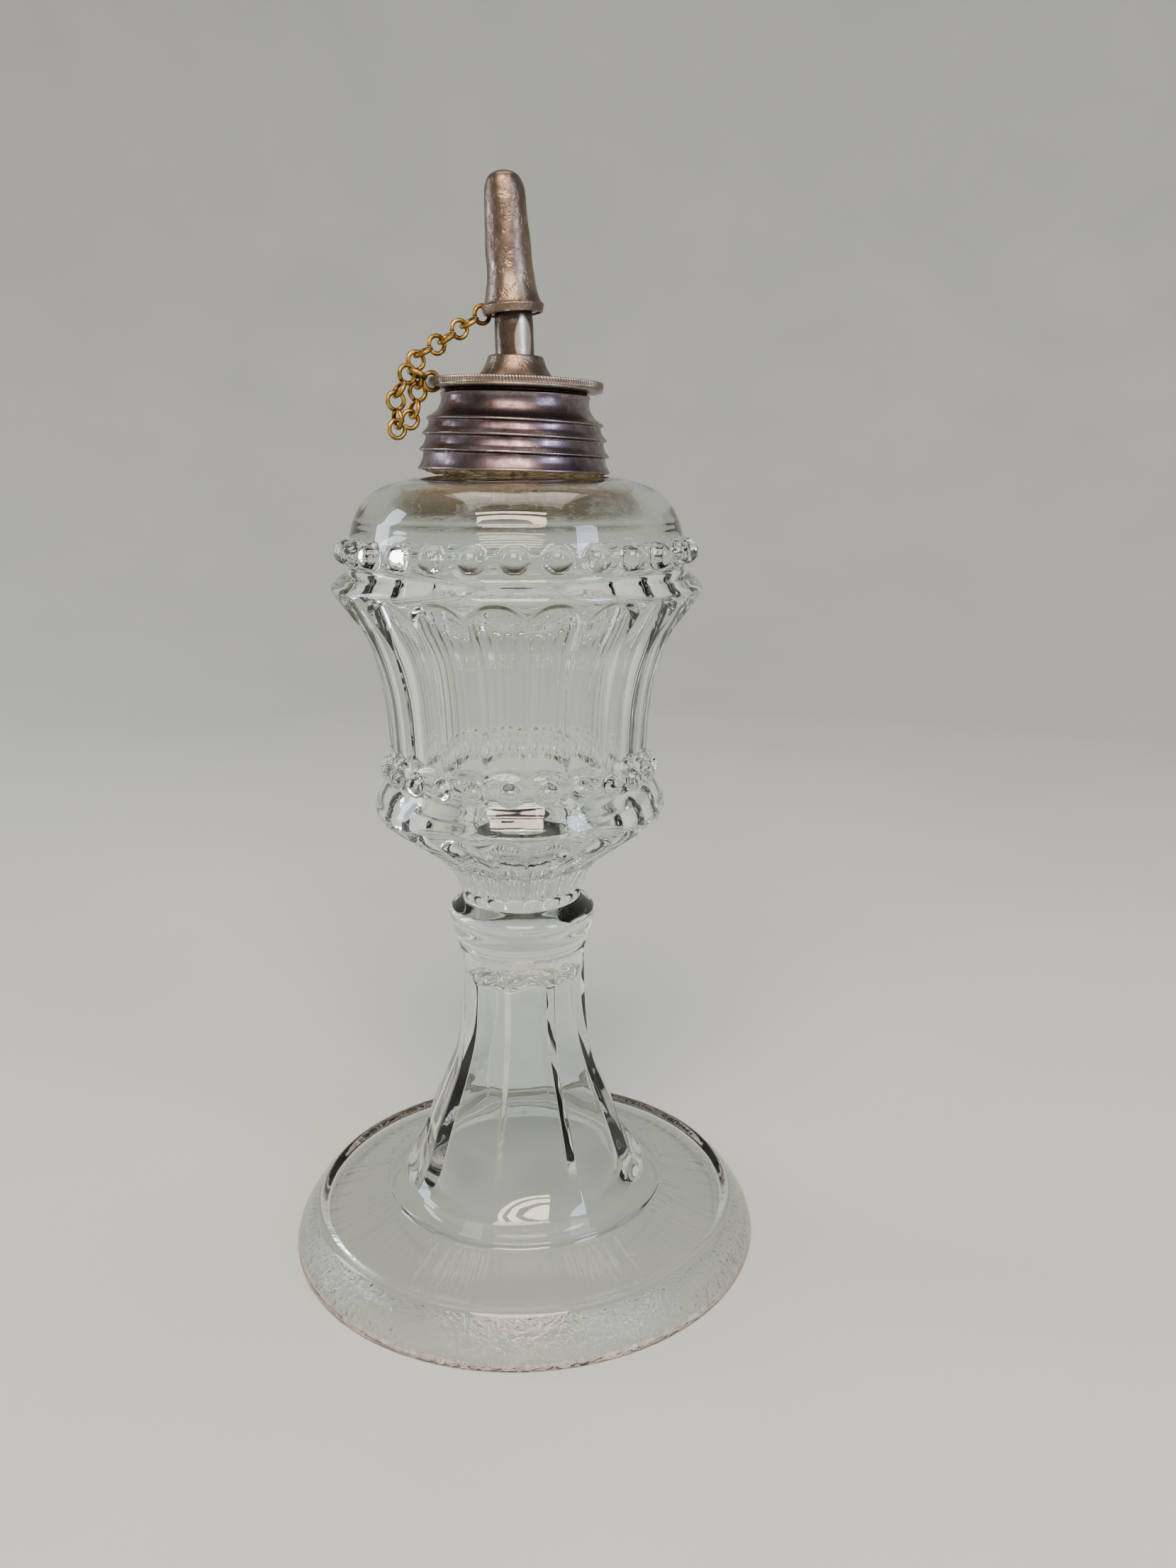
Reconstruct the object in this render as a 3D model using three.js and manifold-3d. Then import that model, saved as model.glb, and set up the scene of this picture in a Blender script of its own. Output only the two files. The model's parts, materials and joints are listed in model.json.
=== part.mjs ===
// A pressed-glass fluid lamp of the 1850s: hollow stem on a round foot, beaded and fluted font,
// cemented pewter collar, screw-in burner with one wick tube, and a snuffer cap on a jack chain.
// Millimetres, +Z up, front towards -Y. The origin is the centre of the foot, on its resting plane.
import * as THREE from 'three';
import { mergeVertices } from 'three/addons/utils/BufferGeometryUtils.js';
import Module from 'manifold-3d';

const wasm = await Module();
wasm.setup();

// ---- Driving dimensions ----

// Foot and stem, one pressing with a hollow under it
const footRadius = 54.4;
const footEdge = 1.6; // upright band above the resting ring
const restingRing = 3.0; // width of the flat ring that the lamp stands on
const footShoulderRadius = 48.4;
const footShoulderHeight = 10;
const footCreaseRadius = 32.5;
const footCreaseHeight = 14.9;
const stemRadius = 14.6; // across the corners, at the top
const stemHeight = 72.4;
const stemSides = 8;
const stemTurn = -16.5; // degrees from the front to the first corner
const stemWall = 4.2;
const footWall = 6;
const hollowTop = 6.4; // glass left above the hollow

// Glass disc that joins stem and font
const waferRadius = 14.9;
const waferThickness = 3.2;

// Font: heights are measured from its own foot
const knopRadius = 16.5;
const waistRadius = 13;
const waistHeight = 8.4;
const lowerRidgeRadius = 32.1;
const lowerRidgeHeight = 30.8;
const vaseRadius = 28.5;
const vaseHeight = 43.5;
const upperRidgeRadius = 39.4;
const upperRidgeHeight = 78.3;
const bandRadius = 36.0;
const bandHeight = 85.6;
const shoulderHeight = 100.9;
const fontWall = 3.6;
const fontFloor = 22;
const fluteCount = 20;
const fluteTurn = 2.5; // degrees from the front to the first rib
const fluteDepth = 0.042; // share of the local radius
const upperBeads = { count: 28, radius: 2.6, turn: -1, stand: 36.1, height: 85.5 };
const lowerBeads = { count: 24, radius: 2.3, turn: -4, stand: 28.4, height: 38.6 };
const glassNeckRadius = 14;
const glassNeckBore = 10.8;
const glassNeckHeight = 7.2;

// Pewter collar, cemented over the glass neck. Heights are measured from its lower edge
const collarLift = 0.6; // lower edge above the font's shoulder
const collarTilt = 1.6; // degrees, the right side is low
const collarSide = -0.4; // its lower edge, left of the lamp's axis
const collarBaseRadius = 20.1;
const collarNeckRadius = 15.4;
const collarHeight = 15.5;
const collarShelf = 7.5; // the threaded part is above this
const collarWall = 1.4;
const plasterGap = 0.8; // between plaster and glass neck

// Screw thread between burner and collar
const threadPitch = 2.4;
const threadRadius = 12.3; // crest of the burner's thread
const threadDepth = 1;
const threadCrest = 0.6; // width of its crest
const threadFlank = 0.42; // widening per millimetre of depth
const threadClearance = 0.28;
const stepsPerTurn = 24;
const grooveLead = 6; // steps that the collar's groove runs on below the burner's thread

// Burner
const gasketThickness = 0.5;
const seat = 0.1; // air between pieces that rest on each other
const discRadius = 18.2;
const discThickness = 2;
const bossTopRadius = 5.6;
const bossFootRadius = 8.6;
const bossHeight = 4.9;
const plugDepth = 7.6;
const plugWall = 1.8;
const tubeRadius = 4;
const tubeTopRadius = 2.6;
const tubeLength = 28; // above the boss
const tubeTail = 17.5; // below the boss top, through the burner
const tubeBore = 2.2;
const tubeLean = -1.3; // degrees from upright, to the left
const tubeFit = 0.3;
const tubeSide = -0.2; // off the burner's centre
const wickRadius = 1.85;
const wickShow = 0.6;

// Snuffer cap
const capLength = 27;
const capRimRadius = 6.44;
const capRadius = 4.6;
const capWall = 0.72;
const capLean = -3.6; // degrees from upright, to the left
const capSide = -0.2; // centre of its rim, left of the lamp's axis
const capGap = 8.1; // rim above the boss
const capHoleRadius = 1.05;
const capHoleHeight = 1.6;

// Jack chain: each link is a bent wire with two loops at right angles
const wireRadius = 0.42;
const loopRadius = 1.73;
const chainPlane = 30; // degrees that the chain's plane turns from the left to the front
const chainHoleRadius = 0.85;
const chainHoleReach = 10.25; // from the cap's ring to the hole in the disc, along the plane
const capRing = -6.6; // centre of the loop in the cap's hole, across
const capRingDrop = 0.1; // and below the cap's rim
const discRingReach = 11.85; // centre of the loop in the disc's hole, from the cap's ring along the plane
const discRingDrop = 0.55; // and below the top of the disc
const hookSlack = 0.85; // pivot between two links, short of the centre of the hooked loop
const hookGap = 0.06; // kept between the wires where two loops pull on each other
const flatLink = 6; // its two loops are in one plane
const chainFromCap = [
  [1, -30.3, -0.10],
  [2, -33.5, 0.19],
  [3, -27.6, 0.49],
  [4, -93.1, 0.94],
  [5, -75.6, 0.70],
  [6, -33.5, 0.52],
];
const chainFromDisc = [
  [9, 22.0, -0.20],
  [8, -57.1, 0.05],
  [7, -94.5, 0.07],
];

// ---- Helpers ----

const radians = THREE.MathUtils.degToRad;

// A closed solid for joining and cutting, from any closed geometry
function solidOf(geometry) {
  const bare = new THREE.BufferGeometry();
  bare.setAttribute('position', geometry.getAttribute('position'));
  if (geometry.index) bare.setIndex(geometry.index);
  const merged = mergeVertices(bare, 1e-4);
  const corners = merged.index.array;
  const triangles = [];
  for (let i = 0; i < corners.length; i += 3) {
    const [a, b, c] = [corners[i], corners[i + 1], corners[i + 2]];
    if (a !== b && b !== c && c !== a) triangles.push(a, b, c);
  }
  return new wasm.Manifold(new wasm.Mesh({
    numProp: 3,
    vertProperties: new Float32Array(merged.getAttribute('position').array),
    triVerts: new Uint32Array(triangles),
  }));
}

function geometryOf(solid) {
  const mesh = solid.getMesh();
  const geometry = new THREE.BufferGeometry();
  geometry.setAttribute('position', new THREE.BufferAttribute(new Float32Array(mesh.vertProperties), 3));
  geometry.setIndex(new THREE.BufferAttribute(new Uint32Array(mesh.triVerts), 1));
  geometry.computeVertexNormals();
  return geometry;
}

// A turned geometry about +Z from an outline of [radius, height] points, outer side rising.
// turn is the angle in degrees from the front to the first column of vertices.
function turnedGeometry(outline, sides, turn = 0) {
  const points = outline.map(([radius, height]) => new THREE.Vector2(radius, height));
  return new THREE.LatheGeometry(points, sides, radians(turn), 2 * Math.PI).rotateX(Math.PI / 2);
}

const turned = (outline, sides = 48, turn = 0) => solidOf(turnedGeometry(outline, sides, turn));

// Points on a smooth curve through the given ones
function smooth(points, count) {
  const curve = new THREE.SplineCurve(points.map(([x, y]) => new THREE.Vector2(x, y)));
  return curve.getPoints(count).map((p) => [p.x, p.y]);
}

// Moves every vertex towards or away from the axis: reshape(angle from the front, radius, height)
function reshaped(geometry, reshape) {
  const position = geometry.getAttribute('position');
  for (let i = 0; i < position.count; i++) {
    const [x, y, z] = [position.getX(i), position.getY(i), position.getZ(i)];
    const radius = Math.hypot(x, y);
    if (radius > 1e-6) {
      const factor = reshape(Math.atan2(x, -y), radius, z) / radius;
      position.setXY(i, x * factor, y * factor);
    }
  }
  return geometry;
}

function moved(solid, x, y, z) {
  return solid.translate([x, y, z]);
}

// 0 below low, 1 above high, and a smooth step between
const step = (value, low, high) => THREE.MathUtils.smoothstep(value, low, high);

// Direction in the level plane, at an angle in degrees from the front towards the right
const bearing = (degrees) => [Math.sin(radians(degrees)), -Math.cos(radians(degrees))];

function finish(colour, roughness, metalness) {
  return new THREE.MeshStandardMaterial({ color: colour, roughness, metalness });
}

function piece(name, solid, material) {
  const mesh = new THREE.Mesh(geometryOf(solid), material);
  mesh.name = name;
  return mesh;
}

// ---- Materials ----

const clearGlass = () => {
  const material = finish(0xdfe9e4, 0.04, 0);
  material.transparent = true;
  material.opacity = 0.35;
  return material;
};
const plasterFinish = () => finish(0xb39b78, 0.95, 0);
const pewter = () => finish(0x8d8380, 0.38, 1);
const wornPewter = () => finish(0x94857a, 0.45, 1);
const leather = () => finish(0x2b2420, 0.9, 0);
const cotton = () => finish(0xcfc4ae, 1, 0);
const brass = () => finish(0xa98243, 0.4, 1);

// ---- Glass: foot with stem, wafer, font ----

function makeBase() {
  const flare = [
    [footCreaseRadius, footCreaseHeight],
    [footCreaseRadius - 4, footCreaseHeight + 1],
    [25.4, 22],
    [22.8, 30],
    [19.4, 38],
    [16.6, 45],
    [stemRadius + 0.5, 55],
    [stemRadius, 66],
    [stemRadius, stemHeight],
  ];
  const top = [
    [footRadius, footEdge],
    [footRadius - 2.2, 6.4],
    [footShoulderRadius, footShoulderHeight],
    [footShoulderRadius - 7, footShoulderHeight + 2.6],
    [footCreaseRadius, footCreaseHeight],
  ];
  const outline = [
    [0, 0],
    [footRadius, 0],
    ...smooth(top, 5),
    ...smooth(flare, 12).slice(1),
    [0, stemHeight],
  ];
  const halfSide = Math.PI / stemSides;
  const flatSided = (angle) => {
    const past = THREE.MathUtils.euclideanModulo(angle - radians(stemTurn), 2 * halfSide);
    return Math.cos(halfSide) / Math.cos(past - halfSide);
  };
  const body = reshaped(turnedGeometry(outline, stemSides * 4, stemTurn), (angle, radius, height) => {
    const flat = step(height, footCreaseHeight, footCreaseHeight + 7);
    return radius * (1 + flat * (flatSided(angle) - 1));
  });
  const innerTop = stemHeight - hollowTop;
  const innerRadius = stemRadius - stemWall;
  const hollow = [
    [0, -1],
    [footRadius - restingRing, -1],
    [footRadius - restingRing, 0],
    [footShoulderRadius - 2, footShoulderHeight - footWall + 0.6],
    [footCreaseRadius - 3, footCreaseHeight - footWall],
    ...smooth([[24.5, 12], [20.4, 20], [17.4, 30], [14, 41], [innerRadius + 0.6, 52], [innerRadius, innerTop]], 6),
    [0, innerTop],
  ];
  const hollowSolid = reshaped(turnedGeometry(hollow, stemSides * 4, stemTurn), (angle, radius, height) => {
    const flat = step(height, footCreaseHeight, footCreaseHeight + 12);
    return radius * (1 + flat * (flatSided(angle) - 1));
  });
  return solidOf(body).subtract(solidOf(hollowSolid));
}

function makeWafer() {
  return turned([
    [0, 0],
    [waferRadius - 1.6, 0],
    [waferRadius - 0.4, waferThickness / 2],
    [waferRadius, waferThickness],
    [0, waferThickness],
  ]);
}

// How deep the flutes are at a height, as a share of the local radius
function fluteShare(height) {
  const vase = step(height, lowerRidgeHeight + 7, vaseHeight) * (1 - step(height, 68, upperRidgeHeight - 1.5));
  const cup = step(height, waistHeight, waistHeight + 3) * (1 - step(height, 23, lowerRidgeHeight - 1.5));
  return fluteDepth * (vase + cup);
}

function beadRing(beads) {
  const bead = solidOf(new THREE.IcosahedronGeometry(beads.radius));
  let ring = null;
  for (let i = 0; i < beads.count; i++) {
    const [x, y] = bearing(beads.turn + (360 * i) / beads.count);
    const one = moved(bead, x * beads.stand, y * beads.stand, beads.height);
    ring = ring ? ring.add(one) : one;
  }
  return ring;
}

function makeFont() {
  const knop = [
    [waferRadius + 0.4, 0],
    [knopRadius, 3.6],
    [knopRadius - 0.4, 6],
    [waistRadius, waistHeight],
  ];
  const cup = [
    [waistRadius, waistHeight],
    [waistRadius + 3.1, 15.2],
    [19.2, 18.6],
    [lowerRidgeRadius - 4.3, 24.8],
    [lowerRidgeRadius - 0.9, 28],
    [lowerRidgeRadius, lowerRidgeHeight],
    [lowerRidgeRadius - 1.4, 34],
    [vaseRadius, 38],
    [vaseRadius, vaseHeight],
  ];
  const vase = [
    [vaseRadius, vaseHeight],
    [vaseRadius + 0.6, 51.4],
    [vaseRadius + 1.8, 59.3],
    [vaseRadius + 4.2, 67],
    [upperRidgeRadius - 2.5, 73.2],
    [upperRidgeRadius - 0.4, 76.4],
    [upperRidgeRadius, upperRidgeHeight],
    [upperRidgeRadius - 1.4, 80],
    [bandRadius - 0.2, 81.8],
    [bandRadius, bandHeight],
  ];
  const shoulder = [
    [bandRadius, bandHeight],
    [bandRadius - 1.6, 91.6],
    [bandRadius - 3.6, 95.2],
    [bandRadius - 6.9, 98],
    [bandRadius - 12.2, 99.8],
    [collarBaseRadius - 1, shoulderHeight - 0.3],
    [glassNeckRadius, shoulderHeight],
  ];
  const neckTop = shoulderHeight + glassNeckHeight;
  const outline = [
    [0, 0],
    ...smooth(knop, 4),
    ...smooth(cup, 10).slice(1),
    ...smooth(vase, 12).slice(1),
    ...smooth(shoulder, 6).slice(1),
    [glassNeckRadius, neckTop],
    [0, neckTop],
  ];
  const ribAngle = (2 * Math.PI) / fluteCount;
  const fluted = reshaped(turnedGeometry(outline, fluteCount * 2, fluteTurn), (angle, radius, height) => {
    const across = THREE.MathUtils.euclideanModulo(angle - radians(fluteTurn), ribAngle) / ribAngle;
    return radius * (1 - fluteShare(height) * Math.sin(Math.PI * across));
  });
  const cavity = [
    [0, fontFloor],
    ...smooth([
      [14, fontFloor],
      [lowerRidgeRadius - fontWall - 4, fontFloor + 4.5],
      [vaseRadius - fontWall, 36],
      [vaseRadius - fontWall + 0.6, 51.4],
      [vaseRadius - fontWall + 1.8, 59.3],
      [vaseRadius - fontWall + 4.2, 67.4],
      [bandRadius - fontWall - 0.6, 76],
      [bandRadius - fontWall + 0.4, bandHeight],
      [bandRadius - fontWall - 3, 93],
      [bandRadius - fontWall - 9, 97],
      [glassNeckBore + 1, shoulderHeight - 2.2],
      [glassNeckBore, shoulderHeight + 1],
    ], 11),
    [glassNeckBore, neckTop + 1],
    [0, neckTop + 1],
  ];
  const beads = beadRing(upperBeads).add(beadRing(lowerBeads));
  return solidOf(fluted).add(beads).subtract(turned(cavity, 24));
}

// ---- Screw thread ----

// The thread's ridge alone: a wedge-shaped section carried up a helix about +Z. Steps are
// counted from the lower end of the burner's thread, so that both threads are in phase.
function threadRidge(rootRadius, crestRadius, crestWidth, flank, firstStep, lastStep) {
  const rootWidth = crestWidth + 2 * flank * (crestRadius - rootRadius);
  const section = [
    [rootRadius, -rootWidth / 2],
    [crestRadius, -crestWidth / 2],
    [crestRadius, crestWidth / 2],
    [rootRadius, rootWidth / 2],
  ];
  const positions = [];
  const corners = [];
  for (let i = firstStep; i <= lastStep; i++) {
    const [x, y] = bearing((360 * i) / stepsPerTurn);
    const middle = threadStart + (threadPitch * i) / stepsPerTurn;
    for (const [radius, height] of section) positions.push(x * radius, y * radius, middle + height);
  }
  const count = lastStep - firstStep;
  for (let i = 0; i < count; i++) {
    for (let j = 0; j < 4; j++) {
      const [a, b] = [4 * i + j, 4 * i + ((j + 1) % 4)];
      corners.push(a, a + 4, b, b, a + 4, b + 4);
    }
  }
  const last = 4 * count;
  corners.push(0, 1, 2, 0, 2, 3, last, last + 2, last + 1, last, last + 3, last + 2);
  const geometry = new THREE.BufferGeometry();
  geometry.setAttribute('position', new THREE.BufferAttribute(new Float32Array(positions), 3));
  geometry.setIndex(corners);
  return solidOf(geometry);
}

// ---- Collar and the plaster that holds it ----

const discBottom = collarHeight + gasketThickness + 2 * seat;
const plugBottom = discBottom - plugDepth;
const coreRadius = threadRadius - threadDepth;
const threadStart = plugBottom + 1;
const threadSteps = Math.round(((collarHeight - 1 - threadStart) / threadPitch) * stepsPerTurn);

function makeCollar() {
  const boreRadius = coreRadius + threadClearance;
  const cavityTop = collarNeckRadius + 0.6;
  const outline = [
    [collarBaseRadius - collarWall, 0],
    [collarBaseRadius, 0],
    [collarBaseRadius - 0.1, 0.7],
    [collarBaseRadius - 0.6, 1.5],
    [collarBaseRadius - 0.3, 2.2],
    [collarBaseRadius - 0.9, 3.5],
    [collarBaseRadius - 1.3, 4.9],
    [collarBaseRadius - 1.0, 5.6],
    [collarBaseRadius - 1.7, 6.9],
    [collarBaseRadius - 1.8, 8.2],
    [collarBaseRadius - 1.6, 8.9],
    [collarBaseRadius - 2.2, 9.6],
    ...smooth([[16.9, 10.9], [15.8, 12.6], [collarNeckRadius, 14.2], [collarNeckRadius + 0.2, collarHeight]], 4),
    [boreRadius + 0.5, collarHeight],
    [boreRadius, collarHeight - 0.5],
    [boreRadius, collarShelf],
    [cavityTop, collarShelf],
    [collarBaseRadius - collarWall - 1.1, 4],
    [collarBaseRadius - collarWall, 0],
  ];
  const groove = threadRidge(
    boreRadius - 0.3,
    threadRadius + threadClearance,
    threadCrest + 2 * threadClearance - 2 * threadFlank * threadClearance,
    threadFlank,
    -grooveLead,
    threadSteps + stepsPerTurn,
  );
  return turned(outline, stepsPerTurn).subtract(groove);
}

function makePlaster() {
  const inside = glassNeckRadius + plasterGap;
  return turned([
    [inside, 0.35],
    [collarBaseRadius - collarWall - 0.5, 0.1],
    [collarBaseRadius - collarWall - 1.5, 4],
    [collarNeckRadius + 0.2, collarShelf - 0.6],
    [inside, collarShelf - 0.6],
    [inside, 0.35],
  ]);
}

// ---- Burner ----

const bossTop = discBottom + discThickness + bossHeight;

function makeGasket() {
  return turned([
    [coreRadius + 0.4, 0],
    [collarNeckRadius - 0.5, 0],
    [collarNeckRadius - 0.5, gasketThickness],
    [coreRadius + 0.4, gasketThickness],
    [coreRadius + 0.4, 0],
  ]);
}

function makeBurner(tubeHole, chainHole) {
  const discTop = discBottom + discThickness;
  const plugInside = coreRadius - plugWall;
  const outline = [
    [0, discBottom - 1],
    [plugInside, discBottom - 1],
    [plugInside, plugBottom],
    [coreRadius - 0.4, plugBottom],
    [coreRadius, plugBottom + 0.4],
    [coreRadius, discBottom],
    [discRadius - 0.5, discBottom],
    [discRadius, discBottom + 0.4],
    [discRadius, discTop - 0.2],
    [discRadius - 0.3, discTop],
    [bossFootRadius, discTop + 0.1],
    ...smooth([
      [bossFootRadius, discTop + 0.1],
      [bossTopRadius + 1, discTop + 2.2],
      [bossTopRadius, bossTop - 0.4],
    ], 4).slice(1),
    [bossTopRadius - 0.6, bossTop],
    [0, bossTop],
  ];
  const thread = threadRidge(
    coreRadius - 0.3,
    threadRadius,
    threadCrest,
    threadFlank,
    0,
    threadSteps,
  );
  return turned(outline).add(thread).subtract(tubeHole).subtract(chainHole);
}

const tubeTaper = [
  [tubeRadius, 6],
  [tubeRadius - 0.12, 7.5],
  [tubeRadius - 0.5, 13],
  [tubeTopRadius, tubeLength],
];

function makeTube() {
  return turned([
    [tubeRadius - 0.6, -tubeTail],
    [tubeRadius, -tubeTail],
    ...tubeTaper,
    [tubeBore, tubeLength],
    [tubeRadius - 1, 13],
    [tubeRadius - 0.6, 6],
    [tubeRadius - 0.6, -tubeTail],
  ], 32);
}

function makeWick() {
  return turned([
    [0, 0.5 - tubeTail],
    [wickRadius, 0.5 - tubeTail],
    [wickRadius, tubeLength + wickShow - 0.4],
    [wickRadius - 0.5, tubeLength + wickShow],
    [0, tubeLength + wickShow],
  ], 16);
}

// ---- Snuffer cap ----

function makeCap(holeDirection) {
  const inside = (radius) => radius - capWall;
  const outline = [
    [capRimRadius - 0.85, 0],
    [capRimRadius - 0.45, 0],
    [capRimRadius, 1.5],
    [capRimRadius - 0.3, 1.8],
    ...smooth([
      [capRimRadius - 0.9, 3],
      [5, 5.9],
      [capRadius + 0.1, 9],
      [capRadius, 14],
      [capRadius - 0.25, 19.5],
      [3.75, 24.5],
      [2.4, 26.4],
      [0, capLength],
    ], 14),
    ...smooth([
      [0, capLength - 1],
      [1.8, 25.2],
      [3, 23.6],
      [inside(capRadius - 0.22), 19.5],
      [inside(capRadius), 14],
      [inside(capRadius + 0.1), 9],
      [inside(5), 5.9],
      [capRimRadius - 1.3, 1.8],
      [capRimRadius - 0.85, 0],
    ], 10),
  ];
  const drill = new THREE.CylinderGeometry(capHoleRadius, capHoleRadius, 3.4, 12);
  drill.rotateX(Math.PI / 2);
  drill.lookAt(new THREE.Vector3(holeDirection[0], holeDirection[1], 0));
  const reach = capRimRadius - 0.5;
  drill.translate(holeDirection[0] * reach, holeDirection[1] * reach, capHoleHeight);
  return turned(outline, 32).subtract(solidOf(drill));
}

// ---- Chain ----

// One ring of a link. An upright ring lies in the link's XZ plane, a level one in its XY plane
function ring(centreX, level) {
  const geometry = new THREE.TorusGeometry(loopRadius, wireRadius, 5, 12);
  if (!level) geometry.rotateX(Math.PI / 2);
  geometry.translate(centreX, 0, 0);
  return solidOf(geometry);
}

// A link lies along +X from the centre of its first loop. Its loops are at right angles to
// each other, or both upright on the flat link.
function makeLink(flat) {
  return ring(0, false).add(ring(2 * loopRadius, !flat));
}

// Places one link after another from an anchor. Each entry of the list is [number, degrees that
// the link points above the outward direction, millimetres that it stands behind the plane].
function hang(group, anchor, links) {
  let [x, z] = anchor;
  links.forEach(([number, rise, behind], index) => {
    const along = [Math.cos(radians(rise)), Math.sin(radians(rise))];
    const hook = index === 0 ? 0 : hookSlack;
    x += along[0] * hook;
    z += along[1] * hook;
    const link = piece(`chain_link_${number}`, makeLink(number === flatLink), brass());
    link.position.set(x, -behind, z);
    link.rotation.y = -radians(rise);
    group.add(link);
    const reach = 3 * loopRadius - hookGap;
    x += along[0] * reach;
    z += along[1] * reach;
  });
}

// ---- Assembly ----

const lamp = new THREE.Group();

const base = piece('glass_base', makeBase(), clearGlass());
lamp.add(base);

const wafer = piece('glass_wafer', makeWafer(), clearGlass());
wafer.position.z = stemHeight;
lamp.add(wafer);

const fontFoot = stemHeight + waferThickness;
const font = piece('glass_font', makeFont(), clearGlass());
font.position.z = fontFoot;
lamp.add(font);

// Collar, burner and what the burner carries share the collar's tilt
const collarSeat = fontFoot + shoulderHeight + collarLift;
const collarGroup = new THREE.Group();
collarGroup.position.set(collarSide, 0, collarSeat);
collarGroup.rotation.y = radians(collarTilt);
lamp.add(collarGroup);
collarGroup.add(piece('collar_plaster', makePlaster(), plasterFinish()));
collarGroup.add(piece('collar', makeCollar(), pewter()));

const gasket = piece('gasket', makeGasket(), leather());
gasket.position.z = collarHeight + seat;
collarGroup.add(gasket);

const tubeGroup = new THREE.Group();
tubeGroup.position.set(tubeSide, 0, bossTop);
tubeGroup.rotation.y = radians(tubeLean - collarTilt);
tubeGroup.add(piece('wick_tube', makeTube(), wornPewter()));
tubeGroup.add(piece('wick', makeWick(), cotton()));
collarGroup.add(tubeGroup);

tubeGroup.updateMatrix();
const tubeHoleGeometry = new THREE.CylinderGeometry(tubeRadius + tubeFit, tubeRadius + tubeFit, 3 * tubeTail, 32);
tubeHoleGeometry.rotateX(Math.PI / 2).applyMatrix4(tubeGroup.matrix);

const chainTurn = Math.PI + radians(chainPlane);
const outward = [Math.cos(chainTurn), Math.sin(chainTurn)];
const chainHoleGeometry = new THREE.CylinderGeometry(chainHoleRadius, chainHoleRadius, 4 * discThickness, 12);
const discRingHeight = collarSeat + discBottom + discThickness - discRingDrop;
chainHoleGeometry.rotateX(Math.PI / 2);
chainHoleGeometry.translate(
  capRing + outward[0] * chainHoleReach,
  outward[1] * chainHoleReach,
  discRingHeight,
);
collarGroup.updateMatrix();
chainHoleGeometry.applyMatrix4(collarGroup.matrix.clone().invert());
const burner = makeBurner(solidOf(tubeHoleGeometry), solidOf(chainHoleGeometry));
collarGroup.add(piece('burner', burner, wornPewter()));

const cap = piece('snuffer_cap', makeCap([-1, 0]), wornPewter());
const capRimHeight = collarSeat + bossTop + capGap;
cap.position.set(capSide, 0, capRimHeight);
cap.rotation.y = radians(capLean);
lamp.add(cap);

const chain = new THREE.Group();
chain.position.x = capRing;
chain.rotation.z = chainTurn;
hang(chain, [0, capRimHeight - capRingDrop], chainFromCap);
hang(chain, [discRingReach, discRingHeight], chainFromDisc);
lamp.add(chain);

export default lamp;
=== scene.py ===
import json
import math

import bmesh
import bpy
import numpy as np
from mathutils import Matrix, Vector, noise

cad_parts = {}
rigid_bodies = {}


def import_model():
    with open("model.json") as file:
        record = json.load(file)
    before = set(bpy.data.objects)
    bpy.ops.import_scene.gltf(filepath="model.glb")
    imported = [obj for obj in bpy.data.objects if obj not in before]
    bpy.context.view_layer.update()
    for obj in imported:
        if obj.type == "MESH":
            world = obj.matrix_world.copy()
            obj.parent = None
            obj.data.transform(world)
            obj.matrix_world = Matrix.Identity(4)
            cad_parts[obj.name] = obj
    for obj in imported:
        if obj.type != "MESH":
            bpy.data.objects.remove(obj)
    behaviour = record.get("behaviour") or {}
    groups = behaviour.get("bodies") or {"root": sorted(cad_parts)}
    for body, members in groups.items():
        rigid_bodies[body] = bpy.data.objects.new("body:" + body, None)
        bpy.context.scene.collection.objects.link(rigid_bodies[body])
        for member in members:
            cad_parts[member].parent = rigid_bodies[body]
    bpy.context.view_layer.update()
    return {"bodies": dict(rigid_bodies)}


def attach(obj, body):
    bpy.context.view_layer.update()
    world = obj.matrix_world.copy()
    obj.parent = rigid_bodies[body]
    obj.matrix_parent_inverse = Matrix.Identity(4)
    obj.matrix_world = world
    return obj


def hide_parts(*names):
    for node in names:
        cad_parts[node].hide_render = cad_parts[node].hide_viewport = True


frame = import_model()


# ---------------------------------------------------------------------------
# Lamp glass: foot, stem and font. Three pressings of clear flint glass, fused
# hot through a small disc of glass, so they are one clear body. All surfaces
# are fire-polished; the flutes, beads and ribs come from the mould.
# ---------------------------------------------------------------------------

mm = 0.001  # sizes are in millimetres, and the scene is in metres
foot_radius = 54.4
foot_edge_height = 1.6
resting_ring_width = 3.0
shoulder_radius, shoulder_height = 48.4, 10.0
crease_radius, crease_height = 32.5, 14.9
stem_radius, stem_height, stem_sides, stem_turn = 14.6, 72.4, 8, -16.5
wafer_radius, wafer_thickness = 14.9, 3.2
font_foot = stem_height + wafer_thickness
hollow_top, hollow_top_radius = 66.0, 10.4
flute_count, flute_turn = 20, 2.5
vase_flute_depth, vase_arch = 0.043, 3.4  # share of the local radius, and height of the arched top
cup_flute_depth, cup_arch = 0.085, 3.2
rib_rounding = 0.86  # the stem's ribs are slightly rounded over
upper_bead_count, upper_bead_turn, upper_bead_height = 28, -1.0, 161.1
upper_bead_radius, upper_bead_stand = 2.6, 36.1
lower_bead_count, lower_bead_turn, lower_bead_height = 24, -4.0, 114.2
lower_bead_radius, lower_bead_stand = 2.3, 28.4
glass_columns = 480


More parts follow.
